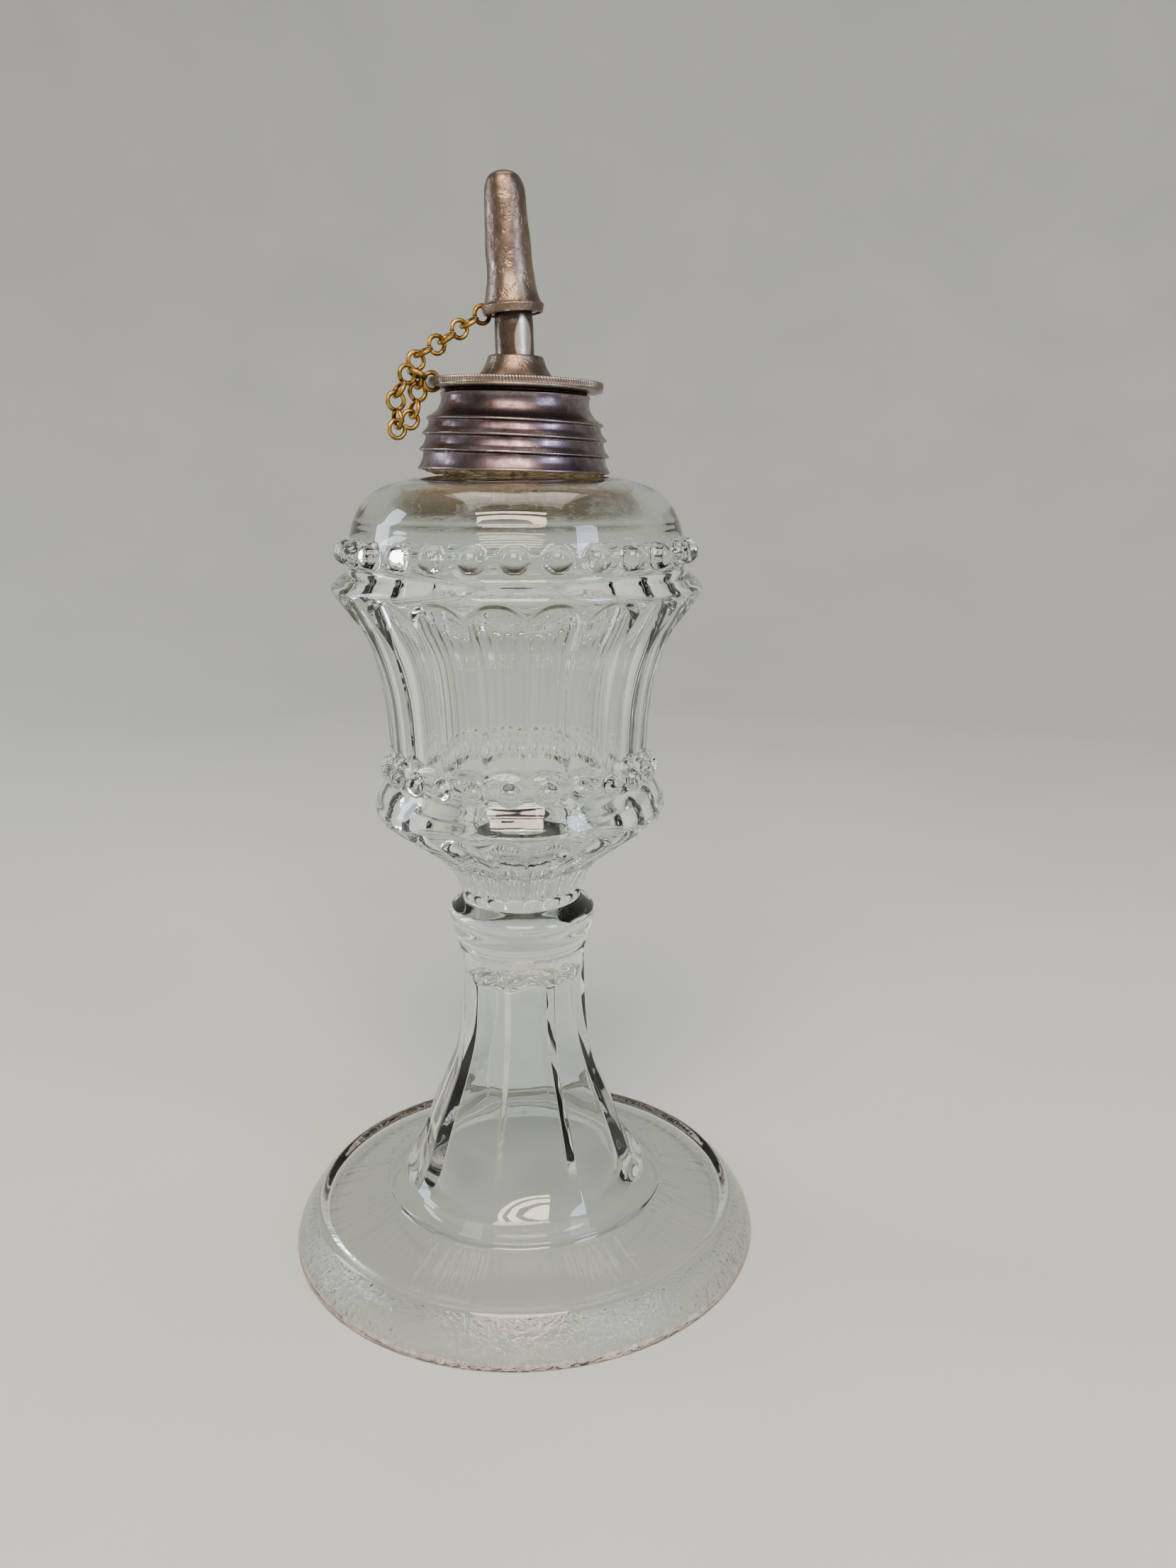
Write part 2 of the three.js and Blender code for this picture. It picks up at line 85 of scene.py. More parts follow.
def spline(points, spacing):
    """Points about `spacing` apart on a smooth curve through the given [radius, height] points."""
    points = [np.array(p, float) for p in points]
    out = [points[0]]
    for i in range(len(points) - 1):
        p1, p2 = points[i], points[i + 1]
        p0 = points[max(i - 1, 0)]
        p3 = points[min(i + 2, len(points) - 1)]
        t1, t2 = (p2 - p0) / 2, (p3 - p1) / 2
        steps = max(1, math.ceil(np.linalg.norm(p2 - p1) / spacing))
        for k in range(1, steps + 1):
            t = k / steps
            a = 2 * t**3 - 3 * t**2 + 1
            b = t**3 - 2 * t**2 + t
            c = -2 * t**3 + 3 * t**2
            d = t**3 - t**2
            out.append(a * p1 + b * t1 + c * p2 + d * t2)
    return out


def blend_step(x, low, high):
    """0 below low, 1 above high, and smooth between them."""
    t = np.clip((x - low) / (high - low), 0, 1)
    return t * t * (3 - 2 * t)


def turned(name, outline, columns, shape=None, place=None, ends=True):
    """A turned mesh about +Z from [radius, height] rows in mm, outer side rising.

    shape(angle, radius, height) returns new radii and heights; angle runs from the front to the
    right. place is a matrix in mm. A row of radius 0 at either end becomes a single point.
    """
    outline = np.array(outline, float)
    angle = np.arange(columns) * 2 * math.pi / columns
    radius = np.repeat(outline[:, :1], columns, axis=1)
    height = np.repeat(outline[:, 1:], columns, axis=1)
    if shape:
        radius, height = shape(np.broadcast_to(angle, radius.shape), radius, height)
    points = np.stack([radius * np.sin(angle), -radius * np.cos(angle), height], axis=2)
    rows = len(outline)
    vertices = points.reshape(-1, 3)
    faces = []
    first, last = 0, rows - 1
    cap_low = ends and outline[0][0] < 1e-6
    cap_high = ends and outline[-1][0] < 1e-6
    index = np.arange(rows * columns).reshape(rows, columns)
    extra = []
    if cap_low:
        extra.append(points[0].mean(axis=0))
        low = rows * columns
        first = 1
        faces += [(low, int(index[1, (j + 1) % columns]), int(index[1, j])) for j in range(columns)]
    if cap_high:
        extra.append(points[-1].mean(axis=0))
        high = rows * columns + len(extra) - 1
        last = rows - 2
        faces += [(int(index[last, j]), int(index[last, (j + 1) % columns]), high) for j in range(columns)]
    a = index[first:last]
    b = np.roll(a, -1, axis=1)
    c = np.roll(index[first + 1:last + 1], -1, axis=1)
    d = index[first + 1:last + 1]
    quads = np.stack([a, b, c, d], axis=2).reshape(-1, 4)
    faces += [tuple(q) for q in quads.tolist()]
    if extra:
        vertices = np.vstack([vertices, extra])
    return mesh_object(name, vertices, faces, place)


def mesh_object(name, vertices, faces, place=None):
    """A smooth-shaded object from points in mm."""
    vertices = np.array(vertices, float)
    if place is not None:
        turn = np.array(place.to_3x3())
        vertices = vertices @ turn.T + np.array(place.translation)
    mesh = bpy.data.meshes.new(name)
    mesh.from_pydata((vertices * mm).tolist(), [], faces)
    mesh.update()
    build = bmesh.new()
    build.from_mesh(mesh)
    loose = [v for v in build.verts if not v.link_faces]
    bmesh.ops.delete(build, geom=loose, context="VERTS")
    build.to_mesh(mesh)
    build.free()
    mesh.shade_smooth()
    made = bpy.data.objects.new(name, mesh)
    bpy.context.scene.collection.objects.link(made)
    return made


def flute_share(across, height, top, arch, bottom, dip):
    """How fully a flute is cut, 0 to 1. Its upper end is an arch, its lower end a shallow bow."""
    crown = np.sin(np.pi * across)
    upper_edge = top - arch * (1 - crown) ** 1.3
    lower_edge = bottom + dip * (1 - crown)
    return (1 - blend_step(height, upper_edge - 1.3, upper_edge)) * blend_step(
        height, lower_edge, lower_edge + 1.6
    )


def bead_rise(angle, height, count, turn, stand, level, size):
    """How far a ring of round beads stands out of the surface that carries it."""
    pitch = 2 * math.pi / count
    off = (angle - math.radians(turn) + pitch / 2) % pitch - pitch / 2
    distance = np.hypot(off * stand, height - level) / size
    return size * np.sqrt(np.clip(1 - distance**2, 0, 1))


def glass_shape(angle, radius, height):
    outer = np.zeros(radius.shape, bool)
    outer[outer_first:outer_last] = True
    # Stem: eight flat sides that fade out on the flare of the foot
    side = 2 * math.pi / stem_sides
    past = (angle - math.radians(stem_turn)) % side
    flat = math.cos(side / 2) / np.cos(past - side / 2)
    fade = blend_step(height, crease_height + 0.6, crease_height + 9)
    fade = np.where(height < stem_height - 0.2, fade, 0)
    on_stem = outer & (height < stem_height + 0.1)
    radius = np.where(on_stem, radius * (1 + rib_rounding * fade * (flat - 1)), radius)
    # Hollow: the same eight sides from the plunger, and an uneven upper rim
    hollow = np.zeros(radius.shape, bool)
    hollow[:outer_first] = True
    inner_fade = blend_step(height, crease_height, crease_height + 12)
    radius = np.where(hollow, radius * (1 + 0.9 * inner_fade * (flat - 1)), radius)
    uneven = 0.5 * np.sin(3 * angle + 0.7) + 0.35 * np.sin(7 * angle)
    near_top = blend_step(height, hollow_top - 5, hollow_top - 1)
    height = np.where(hollow & (radius > 3), height + uneven * near_top, height)
    # Font: flutes on the vase and on the cup below it
    across = ((angle - math.radians(flute_turn)) % (2 * math.pi / flute_count)) * flute_count
    across = across / (2 * math.pi)
    crown = np.sin(np.pi * across)
    vase = flute_share(across, height, vase_flute_top, vase_arch, 117.0, -0.8)
    cup = flute_share(across, height, cup_flute_top, cup_arch, font_foot + 8.6, 0.6)
    is_vase = outer & (height > 112)
    is_cup = outer & (height > font_foot + 6) & (height < 108)
    radius = np.where(is_vase, radius * (1 - vase_flute_depth * vase * crown**0.8), radius)
    radius = np.where(is_cup, radius * (1 - cup_flute_depth * cup * crown**0.8), radius)
    # Beads
    for count, turn, stand, level, size in (
        (upper_bead_count, upper_bead_turn, upper_bead_stand, upper_bead_height, upper_bead_radius),
        (lower_bead_count, lower_bead_turn, lower_bead_stand, lower_bead_height, lower_bead_radius),
    ):
        rise = bead_rise(angle, height, count, turn, stand, level, size)
        bead = np.where(rise > 0, stand + rise, 0)
        radius = np.where(outer & (bead > radius) & (abs(height - level) < size), bead, radius)
    return radius, height


vase_flute_top = font_foot + 77.9
cup_flute_top = font_foot + 29.8
foot_side = [
    [foot_radius, foot_edge_height],
    [foot_radius - 0.9, 4.4],
    [foot_radius - 2.9, 7.6],
    [shoulder_radius + 1.7, shoulder_height - 0.7],
    [shoulder_radius + 0.6, shoulder_height + 0.3],
    [shoulder_radius - 0.5, shoulder_height + 0.25],
    [shoulder_radius - 1.6, shoulder_height - 0.25],
]
foot_band = [
    [shoulder_radius - 1.6, shoulder_height - 0.25],
    [shoulder_radius - 3.4, shoulder_height],
    [shoulder_radius - 9, shoulder_height + 1.6],
    [crease_radius + 2, crease_height - 1.3],
    [crease_radius + 0.7, crease_height - 1.15],
]
flare = [
    [crease_radius + 0.7, crease_height - 1.15],
    [crease_radius + 0.25, crease_height - 0.6],
    [crease_radius, crease_height],
    [crease_radius - 1, crease_height + 0.45],
    [crease_radius - 4, crease_height + 1.7],
    [25.4, 22],
    [22.8, 30],
    [19.4, 38],
    [16.6, 45],
    [stem_radius + 0.5, 55],
    [stem_radius, 66],
    [stem_radius, stem_height],
]
hollow_wall = [
    [0, hollow_top],
    [4, hollow_top],
    [hollow_top_radius - 2.4, hollow_top - 0.2],
    [hollow_top_radius - 0.3, hollow_top - 1.2],
    [hollow_top_radius + 0.5, 52],
    [14, 41],
    [17.4, 30],
    [20.4, 20],
    [24.5, 12],
    [crease_radius - 3, crease_height - 6],
    [shoulder_radius - 2, shoulder_height - 5.4],
    [foot_radius - resting_ring_width, 0.4],
]
knop = [[15.3, 0], [16.5, 3.6], [16.1, 6], [13, 8.4]]
cup_outline = [
    [13, 8.4], [16.1, 15.2], [19.2, 18.6], [27.8, 24.8], [31.2, 28],
    [32.1, 30.8], [30.7, 34], [28.5, 38], [28.5, 43.5],
]
vase_outline = [
    [28.5, 43.5], [29.1, 51.4], [30.3, 59.3], [32.7, 67], [36.9, 73.2],
    [39.0, 76.4], [39.4, 78.3], [38.0, 80], [35.8, 81.8], [36.0, 85.6],
]
shoulder_outline = [
    [36.0, 85.6], [34.4, 91.6], [32.4, 95.2], [29.1, 98], [23.8, 99.8], [19.1, 100.6], [14, 100.9],
]
cavity_outline = [
    [10.8, 108.1], [10.8, 101.9], [11.8, 98.7], [23.4, 97], [29.4, 93], [32.8, 85.6],
    [31.8, 76], [29.1, 67.4], [26.7, 59.3], [25.5, 51.4], [24.9, 36], [24.1, 26.5], [14, 22], [0, 22],
]


def lifted(outline):
    return [[r, z + font_foot] for r, z in outline]


hollow_rows = spline(hollow_wall[:4], 0.8) + spline(hollow_wall[3:], 1.6)[1:]
hollow_rows += [np.array([foot_radius - resting_ring_width + 0.4, 0.0])]
outer_rows = [np.array([foot_radius - 0.5, 0.0]), np.array([foot_radius - 0.1, 0.4])]
outer_rows += spline(foot_side, 0.5)
outer_rows += spline(foot_band, 0.9)[1:]
outer_rows += spline(flare[:5], 0.35)[1:]
outer_rows += spline(flare[4:], 1.3)[1:]
outer_rows += [np.array([stem_radius - 0.25, stem_height + 0.15])]
outer_rows += [np.array([wafer_radius - 0.9, stem_height + 0.4])]
outer_rows += [np.array([wafer_radius - 0.2, stem_height + 1.3])]
outer_rows += [np.array([wafer_radius, stem_height + 2.6])]
outer_rows += [np.array([wafer_radius - 0.3, font_foot - 0.1])]
outer_rows += spline(lifted(knop), 0.6)
outer_rows += spline(lifted(cup_outline[:4]), 0.7)[1:]
outer_rows += spline(lifted(cup_outline[3:]), 0.38)[1:]
outer_rows += spline(lifted(vase_outline[:5]), 0.9)[1:]
outer_rows += spline(lifted(vase_outline[4:]), 0.36)[1:]
outer_rows += spline(lifted(shoulder_outline[:2]), 0.36)[1:]
outer_rows += spline(lifted(shoulder_outline[1:]), 0.9)[1:]
neck_rows = [np.array([14.0, font_foot + 107.7]), np.array([13.6, font_foot + 108.1])]
neck_rows += [np.array([11.2, font_foot + 108.1])]
cavity_rows = spline(lifted(cavity_outline), 1.6)
glass_rows = hollow_rows + outer_rows + neck_rows + cavity_rows
outer_first = len(hollow_rows)
outer_last = outer_first + len(outer_rows)
lamp_glass = turned("lamp_glass", glass_rows, glass_columns, glass_shape)


def colour(hex_value):
    """Linear RGBA from an sRGB hex value such as '#8d8380'."""
    parts = [int(hex_value[i:i + 2], 16) / 255 for i in (1, 3, 5)]
    linear = [p / 12.92 if p <= 0.04045 else ((p + 0.055) / 1.055) ** 2.4 for p in parts]
    return (*linear, 1.0)


def material(name):
    """A new material and its shader."""
    made = bpy.data.materials.new(name)
    made.use_nodes = True
    return made, made.node_tree.nodes["Principled BSDF"]


def add_node(owner, kind, settings=None, **links):
    """Adds a node. settings sets its properties; links sets its inputs to values or to sockets."""
    tree = owner.node_tree
    made = tree.nodes.new(kind)
    for key, value in (settings or {}).items():
        setattr(made, key, value)
    for key, value in links.items():
        socket = made.inputs[int(key[1:])] if key[1:].isdigit() else made.inputs[key.replace("_", " ")]
        if isinstance(value, bpy.types.NodeSocket):
            tree.links.new(value, socket)
        else:
            socket.default_value = value
    return made


def connect(owner, out_socket, in_socket):
    owner.node_tree.links.new(out_socket, in_socket)


def flint_glass(name, roughness, wave_size, wave_strength, drag_marks=0.0):
    """Clear glass with soft waves of the given size in mm, and fine marks drawn out from the centre."""
    made, shader = material(name)
    shader.inputs["Base Color"].default_value = colour("#f6faf7")
    shader.inputs["Transmission Weight"].default_value = 1.0
    shader.inputs["IOR"].default_value = 1.52
    shader.inputs["Roughness"].default_value = roughness
    place = add_node(made, "ShaderNodeTexCoord").outputs["Object"]
    waves = add_node(made, "ShaderNodeTexNoise", Vector=place, Scale=1000 / wave_size, Detail=2.0)
    relief = add_node(
        made, "ShaderNodeBump", Strength=wave_strength, Distance=0.0006, Height=waves.outputs["Fac"]
    )
    # Marks that run outwards: 20 to the radian round the foot, and 20 mm long
    apart = add_node(made, "ShaderNodeSeparateXYZ", Vector=place)
    around = add_node(
        made, "ShaderNodeMath", {"operation": "ARCTAN2"}, i0=apart.outputs["X"], i1=apart.outputs["Y"]
    )
    ring = add_node(made, "ShaderNodeMath", {"operation": "ABSOLUTE"}, i0=around.outputs[0])
    outward = add_node(made, "ShaderNodeVectorMath", {"operation": "LENGTH"}, i0=place)
    drawn = add_node(made, "ShaderNodeCombineXYZ", X=ring.outputs[0], Y=outward.outputs["Value"], Z=0.0)
    marks = add_node(made, "ShaderNodeMapping", Vector=drawn.outputs[0], Scale=(20.0, 50.0, 1.0))
    streaks = add_node(made, "ShaderNodeTexNoise", Vector=marks.outputs[0], Scale=1.0, Detail=3.0)
    drag = add_node(
        made, "ShaderNodeBump", Strength=drag_marks, Distance=0.0006,
        Height=streaks.outputs["Fac"], Normal=relief.outputs["Normal"],
    )
    connect(made, drag.outputs["Normal"], shader.inputs["Normal"])
    return made


# Flint glass, pressed and fire-polished: bright, with soft waves 9 mm across left by the mould, and
# a faint grey-green cast.
polished_glass = flint_glass("pressed_flint_glass", 0.0, 9, 0.10)
# The same glass where the plunger drew it outwards: fine marks run out from the stem
drawn_glass = flint_glass("drawn_flint_glass", 0.02, 9, 0.12, drag_marks=0.55)
# The same glass scuffed by the tables it stood on: a fine grain, 0.9 mm, and duller
scuffed_glass = flint_glass("scuffed_flint_glass", 0.12, 0.9, 0.55, drag_marks=0.25)
# Ground rest: the foot's lowest edge, worn to a pale frost
ground_glass, ground_shader = material("ground_glass_rest")
ground_shader.inputs["Roughness"].default_value = 0.55
ground_grain = add_node(
    ground_glass, "ShaderNodeTexNoise",
    Vector=add_node(ground_glass, "ShaderNodeTexCoord").outputs["Object"], Scale=1000 / 1.5, Detail=5.0,
)
ground_tone = add_node(ground_glass, "ShaderNodeValToRGB", i0=ground_grain.outputs["Fac"])
ground_tone.color_ramp.elements[0].position = 0.35
ground_tone.color_ramp.elements[0].color = colour("#c9b9ae")
ground_tone.color_ramp.elements[1].position = 0.65
ground_tone.color_ramp.elements[1].color = colour("#fbf3ec")
connect(ground_glass, ground_tone.outputs["Color"], ground_shader.inputs["Base Color"])

for finish in (polished_glass, drawn_glass, scuffed_glass, ground_glass):
    lamp_glass.data.materials.append(finish)
for face in lamp_glass.data.polygons:
    out = 1000 * math.hypot(face.center.x, face.center.y)
    up = 1000 * face.center.z
    if up < 0.75 and out > foot_radius - resting_ring_width:
        face.material_index = 3
    elif up < shoulder_height - 0.4 and out > shoulder_radius + 0.8:
        face.material_index = 2
    elif crease_radius + 0.7 < out < shoulder_radius and 9 < up < 16 and face.normal.z > 0.5:
        face.material_index = 1
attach(lamp_glass, "lamp")
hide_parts("glass_base", "glass_wafer", "glass_font")


# ---------------------------------------------------------------------------
# Oil dust: a thin brown film that old lamp oil left inside the font's shoulder,
# heaviest next to the neck. It only shows through the glass.
# ---------------------------------------------------------------------------

film_gap = 0.12
film_outline = [
    [12.4, font_foot + 98.45], [18, font_foot + 97.75], [23.2, font_foot + 96.85],
    [27.0, font_foot + 94.9], [29.0, font_foot + 92.8],
]


def film_shape(angle, radius, height):
    return radius - film_gap, height - film_gap


oil_film = turned("oil_dust_film", spline(film_outline, 0.8), 160, film_shape, ends=False)
dried_oil, film_shader = material("dried_oil_dust")
film_shader.inputs["Roughness"].default_value = 0.9
film_place = add_node(dried_oil, "ShaderNodeTexCoord")
film_height = add_node(dried_oil, "ShaderNodeSeparateXYZ", Vector=film_place.outputs["Object"])
film_near_neck = add_node(
    dried_oil, "ShaderNodeMapRange", Value=film_height.outputs["Z"],
    i1=(font_foot + 93.6) * mm, i2=(font_foot + 97.4) * mm, i3=0.0, i4=1.0,
)
# Specks about 1.2 mm across, in clouds of 9 mm
film_specks = add_node(
    dried_oil, "ShaderNodeTexNoise", Vector=film_place.outputs["Object"], Scale=1000 / 1.2, Detail=6.0
)
film_clouds = add_node(
    dried_oil, "ShaderNodeTexNoise", Vector=film_place.outputs["Object"], Scale=1000 / 9, Detail=3.0
)
film_mix = add_node(
    dried_oil, "ShaderNodeMath", {"operation": "MULTIPLY"},
    i0=film_specks.outputs["Fac"], i1=film_clouds.outputs["Fac"],
)
film_cut = add_node(
    dried_oil, "ShaderNodeMapRange", Value=film_mix.outputs[0], i1=0.12, i2=0.28, i3=0.2, i4=1.0
)
film_alpha = add_node(
    dried_oil, "ShaderNodeMath", {"operation": "MULTIPLY"},
    i0=film_cut.outputs[0], i1=film_near_neck.outputs[0],
)
connect(dried_oil, film_alpha.outputs[0], film_shader.inputs["Alpha"])
film_tone = add_node(dried_oil, "ShaderNodeValToRGB", i0=film_specks.outputs["Fac"])
film_tone.color_ramp.elements[0].color = colour("#5a4a38")
film_tone.color_ramp.elements[1].color = colour("#a08a6c")
connect(dried_oil, film_tone.outputs["Color"], film_shader.inputs["Base Color"])
oil_film.data.materials.append(dried_oil)
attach(oil_film, "lamp")


# ---------------------------------------------------------------------------
# Plaster: the tan cement that holds the collar on the glass neck. It was packed
# in wet, squeezed out under the collar's edge, and has crumbled since.
# ---------------------------------------------------------------------------

collar_side, collar_seat, collar_tilt = -0.4, 177.1, 1.6
collar_place = Matrix.Translation((collar_side, 0, collar_seat)) @ Matrix.Rotation(
    math.radians(collar_tilt), 4, "Y"
)
plaster_outline = [
    [14.9, -0.2], [15.6, -0.9], [17.6, -0.55], [18.6, -0.25], [19.35, 0.05], [18.4, 0.35],
    [17.5, 3.6], [15.7, 6.6], [14.9, 6.8], [14.9, 3.0], [14.9, -0.2],
]


def plaster_shape(angle, radius, height):
    lumps = np.zeros(radius.shape)
    for i in range(radius.shape[0]):
        for j in range(radius.shape[1]):
            a = angle[i, j]
            spot = Vector((radius[i, j] * math.sin(a), radius[i, j] * math.cos(a), height[i, j]))
            lumps[i, j] = noise.noise(spot * 0.55) + 0.6 * noise.noise(spot * 1.5)
    low = blend_step(-height, -1.0, 0.2)
    return radius + 0.45 * lumps * low, height - 0.28 * np.abs(lumps) * low + 0.1 * low


plaster_rows = spline(plaster_outline[:6], 0.4) + [np.array(p, float) for p in plaster_outline[6:]]
collar_plaster = turned(
    "collar_plaster_crumbs", plaster_rows, 220, plaster_shape, collar_place, ends=False
)
crumbled_plaster, plaster_shader = material("crumbled_plaster")
plaster_shader.inputs["Roughness"].default_value = 0.95
plaster_place = add_node(crumbled_plaster, "ShaderNodeTexCoord")
# Grains about 1.1 mm across, as coarse as they need to show
plaster_grain = add_node(
    crumbled_plaster, "ShaderNodeTexNoise",
    Vector=plaster_place.outputs["Object"], Scale=1000 / 1.1, Detail=8.0,
)
plaster_tone = add_node(crumbled_plaster, "ShaderNodeValToRGB", i0=plaster_grain.outputs["Fac"])
plaster_tone.color_ramp.elements[0].position = 0.38
plaster_tone.color_ramp.elements[0].color = colour("#6d5940")
plaster_tone.color_ramp.elements[1].position = 0.62
plaster_tone.color_ramp.elements[1].color = colour("#d2b78d")
connect(crumbled_plaster, plaster_tone.outputs["Color"], plaster_shader.inputs["Base Color"])
plaster_bump = add_node(
    crumbled_plaster, "ShaderNodeBump", Strength=0.8, Distance=0.0004, Height=plaster_grain.outputs["Fac"]
)
connect(crumbled_plaster, plaster_bump.outputs["Normal"], plaster_shader.inputs["Normal"])
collar_plaster.data.materials.append(crumbled_plaster)
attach(collar_plaster, "lamp")
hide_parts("collar_plaster")


# ---------------------------------------------------------------------------
# Collar: spun and stamped pewter, three stepped skirts under a drawn-in neck,
# with the burner's thread inside. Its patina is dark and slightly purple, worn
# bright along the edges of the skirts.
# ---------------------------------------------------------------------------

collar_outline = [
    [18.7, 0.15], [19.6, 0.0], [20.05, 0.08], [20.12, 0.4], [19.8, 0.9], [19.3, 1.9], [19.05, 2.9],
    [19.1, 3.35], [19.75, 3.6], [19.85, 3.85], [19.6, 4.15], [18.95, 4.9], [18.6, 5.9], [18.6, 6.55],
    [19.15, 6.85], [19.25, 7.1], [19.0, 7.4], [18.3, 8.1], [17.95, 9.0], [17.9, 9.55], [18.35, 9.85],
    [18.4, 10.1], [18.1, 10.4], [17.2, 10.9], [16.4, 11.6], [15.8, 12.5], [15.45, 13.4], [15.35, 14.6],
    [15.5, 15.1], [15.45, 15.4], [15.2, 15.5],
]
collar_inside = [
    [12.2, 15.5], [11.75, 15.3], [11.58, 15.0], [11.58, 7.6], [12.2, 7.5], [15.8, 7.5],
    [17.5, 4.2], [18.7, 0.15],
]
thread_pitch, thread_depth = 2.4, 1.0


def ridged(outline, spacing):
    """Rows along straight pieces of an outline, each corner slightly rounded by extra rows."""
    rows = []
    for (r1, z1), (r2, z2) in zip(outline, outline[1:]):
        steps = max(2, math.ceil(math.hypot(r2 - r1, z2 - z1) / spacing))
        rows += [np.array([r1 + (r2 - r1) * k / steps, z1 + (z2 - z1) * k / steps]) for k in range(steps)]
    return rows + [np.array(outline[-1], float)]


def collar_shape(angle, radius, height):
    # The skirts run slightly further down on the right than the collar's edges do
    lean = math.radians(0.8) * blend_step(height, 1.0, 4.0) * (1 - blend_step(height, 12.5, 15.0))
    height = height - np.sin(angle) * radius * lean * (radius > 14.9)
    # Inside, the groove of the screw thread
    turn = (height / thread_pitch - angle / (2 * math.pi)) % 1.0
    groove = np.clip(1 - np.abs(turn - 0.5) / 0.32, 0, 1) * thread_depth
    inside = (radius < 11.8) & (height < 15.0) & (height > 7.7)
    return np.where(inside, radius + groove, radius), height


collar = turned(
    "pewter_collar", spline(collar_outline, 0.25) + ridged(collar_inside, 0.35)[:-1],
    240, collar_shape, collar_place, ends=False,
)


def close_ring(piece):
    """Joins the first and the last row of a turned piece whose outline is a closed loop."""
    build = bmesh.new()
    build.from_mesh(piece.data)
    edges = [e for e in build.edges if e.is_boundary]
    bmesh.ops.bridge_loops(build, edges=edges)
    bmesh.ops.recalc_face_normals(build, faces=build.faces)
    build.to_mesh(piece.data)
    build.free()
    piece.data.shade_smooth()


close_ring(collar)


def patina(name, dark, light, worn, roughness, pits=0.0, turned_lines=0.0):
    """Old pewter: clouds of patina over bright metal, worn spots, and marks of the lathe."""
    made, shader = material(name)
    shader.inputs["Metallic"].default_value = 1.0
    place = add_node(made, "ShaderNodeTexCoord").outputs["Object"]
    # Clouds 9 mm across carry the tone, and specks of 1.6 mm break them up
    clouds = add_node(made, "ShaderNodeTexNoise", Vector=place, Scale=1000 / 9, Detail=5.0, Roughness=0.6)
    specks = add_node(made, "ShaderNodeTexNoise", Vector=place, Scale=1000 / 1.6, Detail=6.0, Roughness=0.7)
    tone = add_node(
        made, "ShaderNodeMix", {"data_type": "FLOAT"},
        i0=0.4, i2=clouds.outputs["Fac"], i3=specks.outputs["Fac"],
    )
    ramp = add_node(made, "ShaderNodeValToRGB", i0=tone.outputs[0])
    stops = ramp.color_ramp.elements
    stops[0].position, stops[0].color = 0.34, colour(dark)
    stops[1].position, stops[1].color = 0.66, colour(worn)
    middle = stops.new(0.5)
    middle.color = colour(light)
    surface = ramp.outputs["Color"]
    # Edges rubbed bright
    edges = add_node(made, "ShaderNodeNewGeometry")
    rubbed = add_node(made, "ShaderNodeMapRange", Value=edges.outputs["Pointiness"], i1=0.52, i2=0.60)
    bright = add_node(
        made, "ShaderNodeMix", {"data_type": "RGBA"},
        i0=rubbed.outputs[0], i6=surface, i7=colour("#b3a79c"),
    )
    connect(made, bright.outputs[2], shader.inputs["Base Color"])
    rough = add_node(
        made, "ShaderNodeMapRange", Value=tone.outputs[0],
        i1=0.35, i2=0.65, i3=roughness + 0.12, i4=roughness - 0.06,
    )
    connect(made, rough.outputs[0], shader.inputs["Roughness"])
    # Relief: pits of about 2.4 mm, then turning marks 0.5 mm apart, as coarse as they need to show
    pitting = add_node(
        made, "ShaderNodeTexNoise", Vector=place, Scale=1000 / 2.4, Detail=4.0, Roughness=0.65
    )
    deep = add_node(
        made, "ShaderNodeMapRange", Value=pitting.outputs["Fac"], i1=0.52, i2=0.72, i3=1.0, i4=0.0
    )
    relief = add_node(made, "ShaderNodeBump", Strength=pits, Distance=0.0005, Height=deep.outputs[0])
    height = add_node(made, "ShaderNodeSeparateXYZ", Vector=place)
    stretched = add_node(made, "ShaderNodeCombineXYZ", X=0.0, Y=0.0, Z=height.outputs["Z"])
    lines = add_node(made, "ShaderNodeTexNoise", Vector=stretched.outputs[0], Scale=1000 / 0.5, Detail=2.0)
    marks = add_node(
        made, "ShaderNodeBump", Strength=turned_lines, Distance=0.00006,
        Height=lines.outputs["Fac"], Normal=relief.outputs["Normal"],
    )
    connect(made, marks.outputs["Normal"], shader.inputs["Normal"])
    return made


# Spun pewter, brown-purple with age, with soft lathe lines
spun_pewter = patina(
    "spun_pewter_patina", "#3f3538", "#6a5d62", "#93858a", 0.27, pits=0.05, turned_lines=0.35
)
collar.data.materials.append(spun_pewter)
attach(collar, "lamp")
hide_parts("collar")


# ---------------------------------------------------------------------------
# Gasket: a dark leather washer between collar and burner, hardened and torn at
# its edge.
# ---------------------------------------------------------------------------

gasket_outline = [
    [11.7, 15.6], [13, 15.58], [14.6, 15.6], [14.9, 15.8],
    [14.7, 16.1], [13, 16.12], [11.7, 16.1], [11.65, 15.85],
]


def gasket_shape(angle, radius, height):
    torn = 0.35 * np.sin(5 * angle + 1) + 0.25 * np.sin(11 * angle) + 0.2 * np.sin(23 * angle + 2)
    return np.where(radius > 14, radius + torn - 0.4, radius), height


gasket = turned("leather_gasket", ridged(gasket_outline, 0.5), 160, gasket_shape, collar_place, ends=False)
close_ring(gasket)
old_leather, leather_shader = material("hardened_leather")
leather_shader.inputs["Roughness"].default_value = 0.85
leather_place = add_node(old_leather, "ShaderNodeTexCoord")
